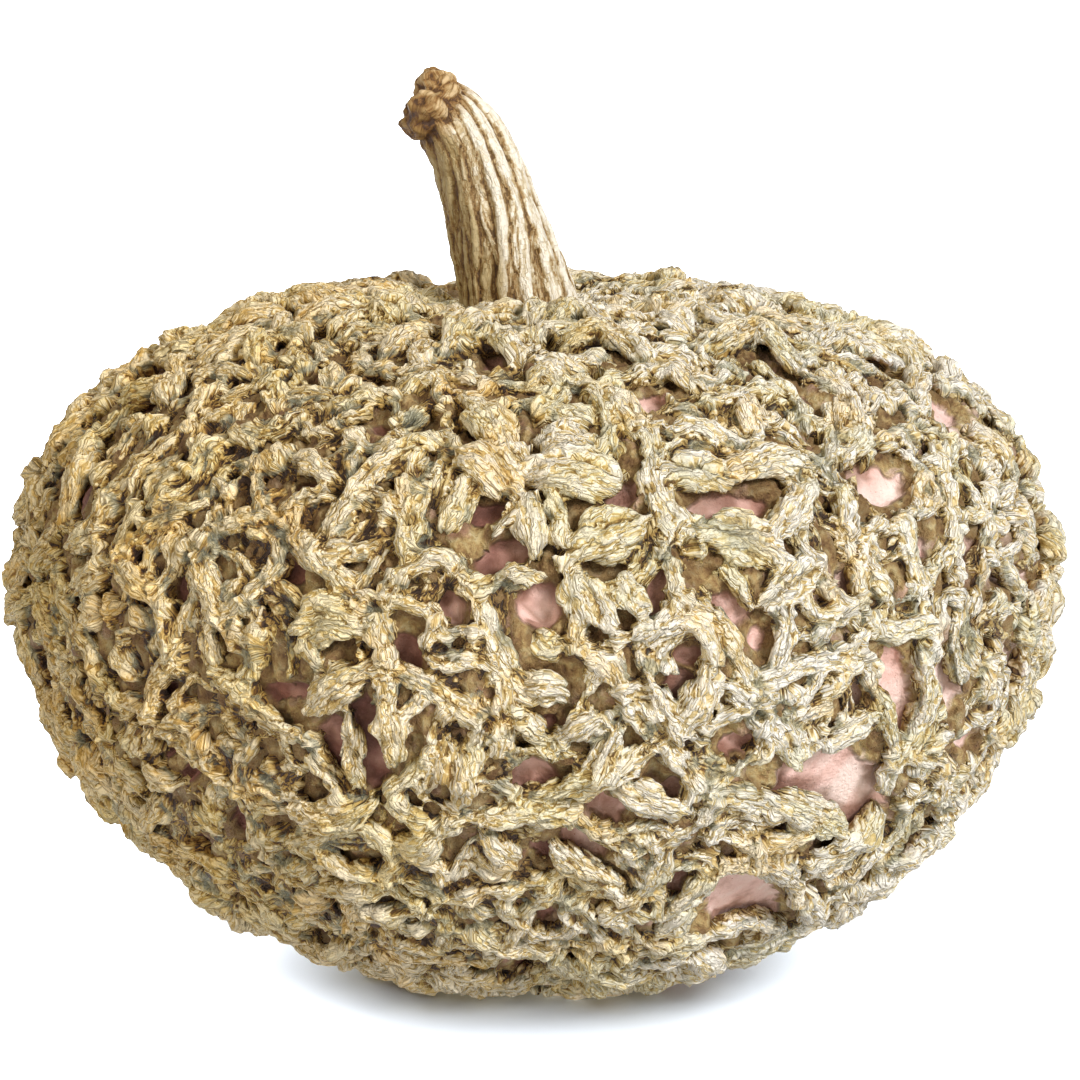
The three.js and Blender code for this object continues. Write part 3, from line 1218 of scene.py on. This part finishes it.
def layRidges():
    rings = len(stemPoints)
    for k in range(stemLook["ridges"]):
        turn = 2 * math.pi * (k + either(stemLook["ridgeSpread"])) / stemLook["ridges"]
        last = rings - draw.randint(*stemLook["ridgeShort"])
        layRidge(turn, 0, last, between(stemLook["ridgeWidth"]), between(stemLook["ridgeRise"]))
    for _ in range(stemLook["threads"]):
        first = draw.randint(0, rings // 2)
        last = min(rings - stemLook["threadShort"], first + draw.randint(rings // 4, rings // 2))
        turn = draw.uniform(0, 2 * math.pi)
        layRidge(turn, first, last, between(stemLook["threadWidth"]), between(stemLook["threadRise"]))


def layKnob(line, look):
    width, rise = between(look["width"]), between(look["rise"])
    addStrand(line, width, "rope", rise, stemStrands)


def layKnobs():
    rim, pith = stemLook["rim"], stemLook["pith"]
    end = len(stemPoints) - 1
    ahead = Vector(stemTangents[-1])
    for k in range(rim["count"]):
        turn = 2 * math.pi * (k + either(rim["spread"])) / rim["count"]
        place, out = stemSpot(end, turn, rim["reach"])
        side, up = out.cross(ahead), (out + ahead * rim["lean"]).normalized()
        steps = np.linspace(-rim["halfLength"], rim["halfLength"], rim["rings"])
        layKnob([(place + side * t + ahead * either(rim["uneven"]), up) for t in steps], rim)
        place, out = stemSpot(end, turn + pith["turn"], between(pith["reach"]))
        up = (ahead + out * pith["lean"]).normalized()
        steps = np.linspace(-pith["halfLength"], pith["halfLength"], pith["rings"])
        layKnob([(place + out * t, up) for t in steps], pith)


def makeCore():
    sides = stemLook["sides"]
    rings = len(stemPoints)
    turns = [2 * math.pi * k / sides for k in range(sides)]
    vertices = [stemSpot(ring, turn)[0] for ring in range(rings) for turn in turns]
    return newPiece("dry_stem", vertices, tubeFaces(0, rings, sides))


def makeStem():
    layRidges()
    layKnobs()
    shells = makeShells("stem_ridges", stemStrands)
    core = makeCore()
    deselectAll()
    shells.select_set(True)
    core.select_set(True)
    bpy.context.view_layer.objects.active = core
    bpy.ops.object.join()
    voxelRemesh(core, stemLook["voxel"])
    read = readGrain(readVectors(core.data.vertices, "co"), stemStrands)
    wrinkle(core, read["grain"], stemLook["wrinkled"])
    slim(core, stemLook["mostTriangles"], np.zeros(len(read["best"]), dtype=bool))
    read = markSurface(core, stemStrands)
    # seam: low where two ridges come close, in the grooves, where the material paints shade
    seam = (read["second"] - read["best"]) / stemLook["seamWidth"]
    setAttribute(core.data, "seam", np.clip(seam, 0, 1))
    coords = readVectors(core.data.vertices, "co")
    along = (coords - stemPoints[-1]) @ stemTangents[-1]
    setAttribute(core.data, "tip", smoothStep(*stemLook["tip"], along))
    # darker towards the left as painted shade, with noise patches of its own darker colour
    ring = np.array([np.argmin(((stemPoints - c) ** 2).sum(axis=1)) for c in coords])
    offset = coords - stemPoints[ring]
    leftward = -np.einsum("vi,vi->v", offset, stemSides[ring]) / stemRadius[ring]
    patches = stemLook["wornPatches"] * noiseAt(coords, stemLook["darkPatchScale"])
    setAttribute(core.data, "worn", leftward + patches)
    return core


dryStem = makeStem()


# materials

def newMaterial(name):
    material = bpy.data.materials.new(name)
    material.use_nodes = True
    tree = material.node_tree
    return material, tree, tree.nodes["Principled BSDF"]


def addNode(tree, kind, **inputs):
    node = tree.nodes.new(kind)
    for name, value in inputs.items():
        node.inputs[name].default_value = value
    return node


def plug(tree, socket, value):  # a socket is linked, a number or colour is set
    if isinstance(value, bpy.types.NodeSocket):
        tree.links.new(value, socket)
    else:
        socket.default_value = value


def readAttribute(tree, name, output="Fac"):
    node = tree.nodes.new("ShaderNodeAttribute")
    node.attribute_name = name
    return node.outputs[output]


def rangeNode(tree, source, low, high, toLow=0.0, toHigh=1.0):
    node = addNode(tree, "ShaderNodeMapRange", **{
        "From Min": low, "From Max": high, "To Min": toLow, "To Max": toHigh})
    node.interpolation_type = "SMOOTHSTEP"
    tree.links.new(source, node.inputs["Value"])
    return node.outputs["Result"]


def mixNode(tree, factor, first, second, blend="MIX"):
    node = tree.nodes.new("ShaderNodeMix")
    node.data_type = "RGBA"
    node.blend_type = blend
    for socket, value in zip((node.inputs[0], node.inputs[6], node.inputs[7]), (factor, first, second)):
        plug(tree, socket, value)
    return node.outputs[2]


def rampNode(tree, source, stops):
    node = tree.nodes.new("ShaderNodeValToRGB")
    elements = node.color_ramp.elements
    while len(elements) < len(stops):
        elements.new(0.5)
    for element, (position, colour) in zip(elements, stops):
        element.position = position
        element.color = (*colour, 1)
    tree.links.new(source, node.inputs["Fac"])
    return node.outputs["Color"]


def mathNode(tree, operation, first, second=0.0):
    node = tree.nodes.new("ShaderNodeMath")
    node.operation = operation
    plug(tree, node.inputs[0], first)
    plug(tree, node.inputs[1], second)
    return node.outputs["Value"]


def sumOf(tree, start, *parts):  # each part: its source, the value at which it adds nothing, its weight
    total = start
    for source, centre, weight in parts:
        shifted = mathNode(tree, "MULTIPLY", mathNode(tree, "SUBTRACT", source, centre), weight)
        total = mathNode(tree, "ADD", shifted, total)
    return total


def levelOf(tree, start, weights, sources):
    return sumOf(tree, start, *((sources[name], *weight) for name, weight in weights.items()))


def noiseTexture(tree, scale, detail, roughness=0.6):
    node = addNode(tree, "ShaderNodeTexNoise", Scale=scale, Detail=detail, Roughness=roughness)
    tree.links.new(addNode(tree, "ShaderNodeTexCoord").outputs["Object"], node.inputs["Vector"])
    return node.outputs["Fac"]


grainLook = {  # crinkles a millimetre, along and across the strand, and detail
    "fold": (0.12, 0.30, 2.0),
    "crinkle": (0.22, 0.66, 2.0),
    "thread": (0.40, 1.50, 3.0),
    "patchy": (0.16, 0.22, 2.0),
    "roughness": 0.55,
    "sway": 0.34,  # waves of the crinkles, a millimetre
    "swaySize": (4.6, 3.2, 0.0),
    "foldEdge": 0.060,  # half width of a crease
    "crinkleEdge": 0.070,
    "swelling": 0.17,  # the same of what rises between the creases
    "relief": {"fold": 0.5, "crinkle": 0.35, "thread": 0.3},
    "finerFrom": (0.34, 0.60),  # patchy noise between which the finer creases come in
    "finerLeast": 0.15,  # what is left of them elsewhere
}


def corkGrainGroup():
    group = bpy.data.node_groups.new("corkGrain", "ShaderNodeTree")
    group.interface.new_socket("Grain", in_out="INPUT", socket_type="NodeSocketVector")
    for name in ("Relief", "Crease", "Thread", "Patchy"):
        group.interface.new_socket(name, in_out="OUTPUT", socket_type="NodeSocketFloat")
    source = group.nodes.new("NodeGroupInput").outputs["Grain"]
    out = group.nodes.new("NodeGroupOutput")
    wave = addNode(group, "ShaderNodeTexNoise", Scale=grainLook["sway"], Detail=2.0)
    group.links.new(source, wave.inputs["Vector"])
    swayed = group.nodes.new("ShaderNodeVectorMath")
    swayed.operation = "MULTIPLY_ADD"
    group.links.new(wave.outputs["Color"], swayed.inputs[0])
    swayed.inputs[1].default_value = grainLook["swaySize"]
    group.links.new(source, swayed.inputs[2])
    patterns = {}
    for name in ("fold", "crinkle", "thread", "patchy"):
        along, across, detail = grainLook[name]
        stretch = addNode(group, "ShaderNodeMapping", Scale=(along, across, 1.0))
        group.links.new(swayed.outputs["Vector"], stretch.inputs["Vector"])
        pattern = addNode(group, "ShaderNodeTexNoise", Scale=1.0, Detail=detail,
                          Roughness=grainLook["roughness"])
        group.links.new(stretch.outputs["Vector"], pattern.inputs["Vector"])
        patterns[name] = pattern.outputs["Fac"]
    heights, creases = {"thread": patterns["thread"]}, {}
    for name in ("fold", "crinkle"):
        away = mathNode(group, "ABSOLUTE", mathNode(group, "SUBTRACT", patterns[name], 0.5))
        heights[name] = rangeNode(group, away, 0.0, grainLook["swelling"])
        creases[name] = rangeNode(group, away, 0.0, grainLook[name + "Edge"], 1.0, 0.0)
    finer = rangeNode(group, patterns["patchy"], *grainLook["finerFrom"], grainLook["finerLeast"], 1.0)
    creases["crinkle"] = mathNode(group, "MULTIPLY", creases["crinkle"], finer)
    weights = {name: (0.0, weight) for name, weight in grainLook["relief"].items()}
    group.links.new(levelOf(group, 0.0, weights, heights), out.inputs["Relief"])
    # Crease marks the creases of the grain, which the materials darken as painted shade
    group.links.new(mathNode(group, "MAXIMUM", *creases.values()), out.inputs["Crease"])
    group.links.new(patterns["thread"], out.inputs["Thread"])
    group.links.new(patterns["patchy"], out.inputs["Patchy"])
    return group


corkGrain = corkGrainGroup()


def grainOf(tree):
    node = tree.nodes.new("ShaderNodeGroup")
    node.node_tree = corkGrain
    tree.links.new(readAttribute(tree, "grain", "Vector"), node.inputs["Grain"])
    return node.outputs


rindColours = {
    "cork": [  # from the creases to the crests
        (0.02, (0.030, 0.012, 0.003)), (0.20, (0.145, 0.075, 0.018)), (0.38, (0.360, 0.240, 0.078)),
        (0.54, (0.570, 0.430, 0.180)), (0.74, (0.800, 0.690, 0.430)), (0.95, (1.000, 0.970, 0.890)),
    ],
    "corkStart": 0.725,
    "corkLevel": {  # the value at which each one changes nothing, and its weight
        "thread": (0.5, 0.42), "crease": (0.3, -0.64), "patchy": (0.5, 0.30), "paintedCrestLight": (0.5, 0.24),
        "swollen": (0.5, 0.24), "tone": (0.5, 0.12), "mottle": (0.5, 0.36), "creviceShade": (0.2, -0.48),
        # darker towards the left: partly painted shade on the side away from the key light, partly its own
        # duller colour
        "leftward": (0.0, -0.13),
    },
    "olive": (0.86, 0.85, 0.60, 1),
    "oliveMost": 0.6,
    "rust": (1.0, 0.90, 0.72, 1),
    # ochre: multiplied in towards the left, partly its own colour and partly painted shade
    "ochre": (1.0, 0.88, 0.63, 1),
    "slate": [(0.35, (0.190, 0.195, 0.125)), (0.65, (0.430, 0.450, 0.350))],
    "sunkMost": 0.55,  # of that grey in a wart's hollow
    "streakMost": 0.7,  # and on its sides
    "ground": [  # thin crust between the warts
        (0.10, (0.080, 0.036, 0.010)), (0.34, (0.260, 0.150, 0.055)), (0.52, (0.440, 0.310, 0.130)),
        (0.70, (0.520, 0.430, 0.230)), (0.90, (0.760, 0.660, 0.430)),
    ],
    "groundStart": 0.52,
    "groundLevel": {"stain": (0.5, 0.7), "crumbly": (0.5, 1.1), "mottle": (0.5, 0.5)},
    "stainMost": 0.55,  # of the skin that shows through the crust
    "pink": [
        (0.30, (0.230, 0.095, 0.070)), (0.46, (0.520, 0.290, 0.235)), (0.60, (0.830, 0.560, 0.510)),
        (0.78, (0.930, 0.750, 0.710)),
    ],
    "pinkStart": 0.52,
    "pinkLevel": {"blush": (0.5, 1.1), "paintedLightRightward": (0.02, 2.6)},  # painted light: paler towards the right, where the key light falls, and darker to the left as if in shade
    "speck": (0.42, 0.16, 0.12, 1),
    "shade": (0.30, 0.20, 0.12, 1),  # painted shade on the skin beside a wart
    "shadeMost": 0.7,
    "bareRagged": 0.5,  # of an opening's edge
    "patterns": {  # scale and detail
        "patch": (38.0, 4.0), "rust": (55.0, 3.0), "blush": (60.0, 3.0), "stain": (110.0, 3.0),
        "streak": (130.0, 2.0), "crumbly": (330.0, 5.0), "mottle": (700.0, 4.0), "speck": (1300.0, 2.0),
    },
    "limits": {  # values between which each one comes in
        "paintedCrestLight": (-0.18, 0.18), "swollen": (-1.4, 1.2), "creviceShade": (0.0, 0.75),
        "leftward": (0.08, -0.13), "olive": (0.44, 0.64), "rust": (0.50, 0.66), "dent": (0.25, 0.55),
        "dentPatch": (0.45, 0.6), "flank": (0.15, 0.4), "flankEnd": (0.5, 0.8), "streak": (0.51, 0.60),
        "speck": (0.67, 0.75), "bare": (0.2, 0.8), "stain": (0.54, 0.66),
    },
    "bump": 0.0024,
    "crumbled": 1.2,  # relief of the crust
    "mottled": 0.35,  # and of the finest grain
    "roughness": 0.75,
}


def corkMaterial():
    material, tree, shader = newMaterial("corkyRind")
    link = tree.links.new
    grain = grainOf(tree)
    names = ("crest", "swell", "tone", "dent", "bare", "seam", "crust")
    crest, swell, tone, dent, bare, seam, crust = (readAttribute(tree, name) for name in names)
    place = addNode(tree, "ShaderNodeSeparateXYZ")
    link(addNode(tree, "ShaderNodeTexCoord").outputs["Object"], place.inputs["Vector"])
    patterns = {name: noiseTexture(tree, *size) for name, size in rindColours["patterns"].items()}
    limits = rindColours["limits"]
    # creviceShade: 1 where seam is low, at a wart's foot, where two meet and on the crust beside one:
    # painted shade
    creviceShade = rangeNode(tree, seam, *limits["creviceShade"], 1.0, 0.0)
    # leftward: 1 at the left, 0 at the right; darker and more ochre there, partly its own colour and
    # partly painted shade
    leftward = rangeNode(tree, place.outputs["X"], *limits["leftward"])
    level = levelOf(tree, rindColours["corkStart"], rindColours["corkLevel"], {
        "thread": grain["Thread"],
        # painted shade in the creases of the grain
        "crease": grain["Crease"],
        "patchy": grain["Patchy"],
        # painted highlight on the crests and painted shade in the hollows, read from the surface's relief
        "paintedCrestLight": rangeNode(tree, crest, *limits["paintedCrestLight"]),
        "swollen": rangeNode(tree, swell, *limits["swollen"]),
        "tone": tone,
        "mottle": patterns["mottle"],
        "creviceShade": creviceShade,
        "leftward": leftward,
    })
    cork = rampNode(tree, level, rindColours["cork"])
    olive = rangeNode(tree, patterns["patch"], *limits["olive"], 0.0, rindColours["oliveMost"])
    rusty = rangeNode(tree, patterns["rust"], *limits["rust"])
    # olive and rust are patches of its own colour; the ochre on the left is partly its own colour and
    # partly painted shade
    for amount, stain in ((olive, "olive"), (rusty, "rust"), (leftward, "ochre")):
        cork = mixNode(tree, amount, cork, rindColours[stain], "MULTIPLY")
    slate = rampNode(tree, patterns["mottle"], rindColours["slate"])
    patch = rangeNode(tree, patterns["patch"], *limits["dentPatch"])
    sunk = mathNode(tree, "MULTIPLY", rangeNode(tree, dent, *limits["dent"]), patch)
    flankEnd = rangeNode(tree, seam, *limits["flankEnd"], 1.0, 0.0)
    flank = mathNode(tree, "MULTIPLY", rangeNode(tree, seam, *limits["flank"]), flankEnd)
    streak = mathNode(tree, "MULTIPLY", flank, rangeNode(tree, patterns["streak"], *limits["streak"]))
    for amount, most in ((sunk, "sunkMost"), (streak, "streakMost")):
        cork = mixNode(tree, mathNode(tree, "MULTIPLY", amount, rindColours[most]), cork, slate)
    crustLevel = levelOf(tree, rindColours["groundStart"], rindColours["groundLevel"], patterns)
    ground = rampNode(tree, crustLevel, rindColours["ground"])
    blush = levelOf(tree, rindColours["pinkStart"], rindColours["pinkLevel"], {
        "blush": patterns["blush"],
        # painted light on the bare skin, paler towards the right
        "paintedLightRightward": place.outputs["X"],
    })
    pink = rampNode(tree, blush, rindColours["pink"])
    speck = rangeNode(tree, patterns["speck"], *limits["speck"])
    pink = mixNode(tree, speck, pink, rindColours["speck"])
    ragged = sumOf(tree, bare, (patterns["mottle"], 0.5, rindColours["bareRagged"]))
    covered = rangeNode(tree, ragged, *limits["bare"], 1.0, 0.0)
    stained = rangeNode(tree, patterns["stain"], *limits["stain"], 0.0, rindColours["stainMost"])
    ground = mixNode(tree, covered, pink, mixNode(tree, stained, ground, pink))
    # painted shade on the crust and skin beside the warts
    shaded = mathNode(tree, "MULTIPLY", creviceShade, rindColours["shadeMost"])
    ground = mixNode(tree, shaded, ground, rindColours["shade"], "MULTIPLY")
    link(mixNode(tree, crust, cork, ground), shader.inputs["Base Color"])
    bump = addNode(tree, "ShaderNodeBump", Strength=1.0, Distance=rindColours["bump"])
    crinkled = mathNode(tree, "MULTIPLY", grain["Relief"], mathNode(tree, "SUBTRACT", 1.0, crust))
    crusty = mathNode(tree, "MULTIPLY", crust, covered)
    crumbled = mathNode(tree, "MULTIPLY", patterns["crumbly"], crusty)
    height = sumOf(tree, crinkled, (crumbled, 0.0, rindColours["crumbled"]),
                   (patterns["mottle"], 0.5, rindColours["mottled"]))
    link(height, bump.inputs["Height"])
    link(bump.outputs["Normal"], shader.inputs["Normal"])
    shader.inputs["Roughness"].default_value = rindColours["roughness"]
    return material


stemColours = {
    "cork": [
        (0.10, (0.100, 0.052, 0.015)), (0.30, (0.29, 0.175, 0.060)), (0.50, (0.46, 0.360, 0.205)),
        (0.66, (0.62, 0.545, 0.400)), (0.85, (0.83, 0.790, 0.700)),
    ],
    "corkStart": 0.56,
    "corkLevel": {
        "thread": (0.5, 0.7), "crease": (0.3, -0.26), "paintedCrestLight": (0.5, 0.26), "swollen": (0.5, 0.34),
        "mottle": (0.5, 0.3), "tip": (0.0, -0.10), "grooveShade": (0.2, -0.34),
    },
    "mottle": (700.0, 4.0),
    "limits": {"crest": (-0.16, 0.16), "swell": (-0.7, 0.7), "seam": (0.0, 0.6), "worn": (-0.20, 0.40)},
    "worn": (0.55, 0.46, 0.28, 1),  # darker colour on the left, partly painted shade on the side away from the key light, partly patches of its own darker colour
    "tip": (0.72, 0.56, 0.36, 1),
    "bumpStrength": 0.7,
    "bump": 0.0012,
    "roughness": 0.72,
}


def stemMaterial():
    material, tree, shader = newMaterial("dryStem")
    link = tree.links.new
    grain = grainOf(tree)
    limits = stemColours["limits"]
    names = ("crest", "swell", "seam", "worn", "tip")
    crest, swell, seam, worn, tip = (readAttribute(tree, name) for name in names)
    level = levelOf(tree, stemColours["corkStart"], stemColours["corkLevel"], {
        "thread": grain["Thread"],
        # painted shade in the creases of the grain
        "crease": grain["Crease"],
        # painted highlight on the crests and painted shade in the hollows, read from the surface's relief
        "paintedCrestLight": rangeNode(tree, crest, *limits["crest"]),
        "swollen": rangeNode(tree, swell, *limits["swell"]),
        "mottle": noiseTexture(tree, *stemColours["mottle"]),
        "tip": tip,
        # painted shade in the grooves between the ridges
        "grooveShade": rangeNode(tree, seam, *limits["seam"], 1.0, 0.0),
    })
    colour = rampNode(tree, level, stemColours["cork"])
    # painted shade on the stem's left side, with darker patches of its own colour
    leftShadeAndPatchesShare = rangeNode(tree, worn, *limits["worn"])
    colour = mixNode(tree, leftShadeAndPatchesShare, colour, stemColours["worn"], "MULTIPLY")
    link(mixNode(tree, tip, colour, stemColours["tip"], "MULTIPLY"), shader.inputs["Base Color"])
    bump = addNode(tree, "ShaderNodeBump", Strength=stemColours["bumpStrength"],
                   Distance=stemColours["bump"])
    link(grain["Relief"], bump.inputs["Height"])
    link(bump.outputs["Normal"], shader.inputs["Normal"])
    shader.inputs["Roughness"].default_value = stemColours["roughness"]
    return material


cork = corkMaterial()
for piece in (rind, *wartPieces):
    piece.data.materials.clear()
    piece.data.materials.append(cork)
    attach(piece, "root")
    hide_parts("squash_body")
dryStem.data.materials.clear()
dryStem.data.materials.append(stemMaterial())
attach(dryStem, "root")
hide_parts("stem")
print("rind and stem coloured")


# floor and light

studioLook = {
    "floor": (0.78, 0.85, 0.95, 1),
    "floorSize": 60,
    "floorRoughness": 0.9,
    "world": (1.0, 0.90, 0.75, 1),
    "worldStrength": 0.35,
    "lights": {  # colour, strength, width in degrees, where it comes from, and what it lights
        "key": ((1.0, 0.98, 0.96), 3.1, 18, (0.74, -0.85, 0.60), "squash"),
        "fill": ((1.0, 0.88, 0.68), 0.9, 40, (-0.70, -0.70, 0.55), "squash"),
        "bounce": ((1.0, 0.95, 0.86), 0.8, 60, (0.25, -1.0, -0.40), "squash"),
        "back": ((1.0, 0.94, 0.84), 1.5, 50, (0.15, 1.0, 0.62), "squash"),
        "floorFront": ((1.0, 1.0, 1.0), 7.6, 36, (0.0, -1.0, 0.76), "floor"),
        "floorLeft": ((1.0, 1.0, 1.0), 7.6, 36, (-0.87, 0.5, 0.62), "floor"),
        "floorRight": ((1.0, 1.0, 1.0), 7.6, 36, (0.87, 0.5, 0.62), "floor"),
    },
}


def makeFloor():
    deselectAll()
    bpy.ops.mesh.primitive_plane_add(size=studioLook["floorSize"], location=(0, 0, 0))
    floor = bpy.context.object
    floor.name = "floor"
    floor.visible_diffuse = False  # its white doesn't shine back up under the fruit
    material, _, shader = newMaterial("paleFloor")
    shader.inputs["Base Color"].default_value = studioLook["floor"]
    shader.inputs["Roughness"].default_value = studioLook["floorRoughness"]
    floor.data.materials.append(material)
    return floor


def makeStudio():
    lit = {"squash": [rind, *wartPieces, dryStem], "floor": [makeFloor()]}
    groups = {}
    for name, things in lit.items():
        groups[name] = bpy.data.collections.new(name + "Lit")
        for thing in things:
            groups[name].objects.link(thing)
    for name, (colour, strength, width, comesFrom, lights) in studioLook["lights"].items():
        lamp = bpy.data.lights.new(name, "SUN")
        lamp.color = colour
        lamp.energy = strength
        lamp.angle = math.radians(width)
        sun = bpy.data.objects.new(name, lamp)
        scene.collection.objects.link(sun)
        sun.rotation_euler = (-Vector(comesFrom)).to_track_quat("-Z", "Y").to_euler()
        sun.light_linking.receiver_collection = groups[lights]
        sun.light_linking.blocker_collection = groups["squash"]  # the floor casts no shadow
    world = bpy.data.worlds.new("studio")
    scene.world = world
    world.use_nodes = True
    background = world.node_tree.nodes["Background"]
    background.inputs["Color"].default_value = studioLook["world"]
    background.inputs["Strength"].default_value = studioLook["worldStrength"]
    scene.view_settings.view_transform = "Standard"


makeStudio()
print("floor and lights set")
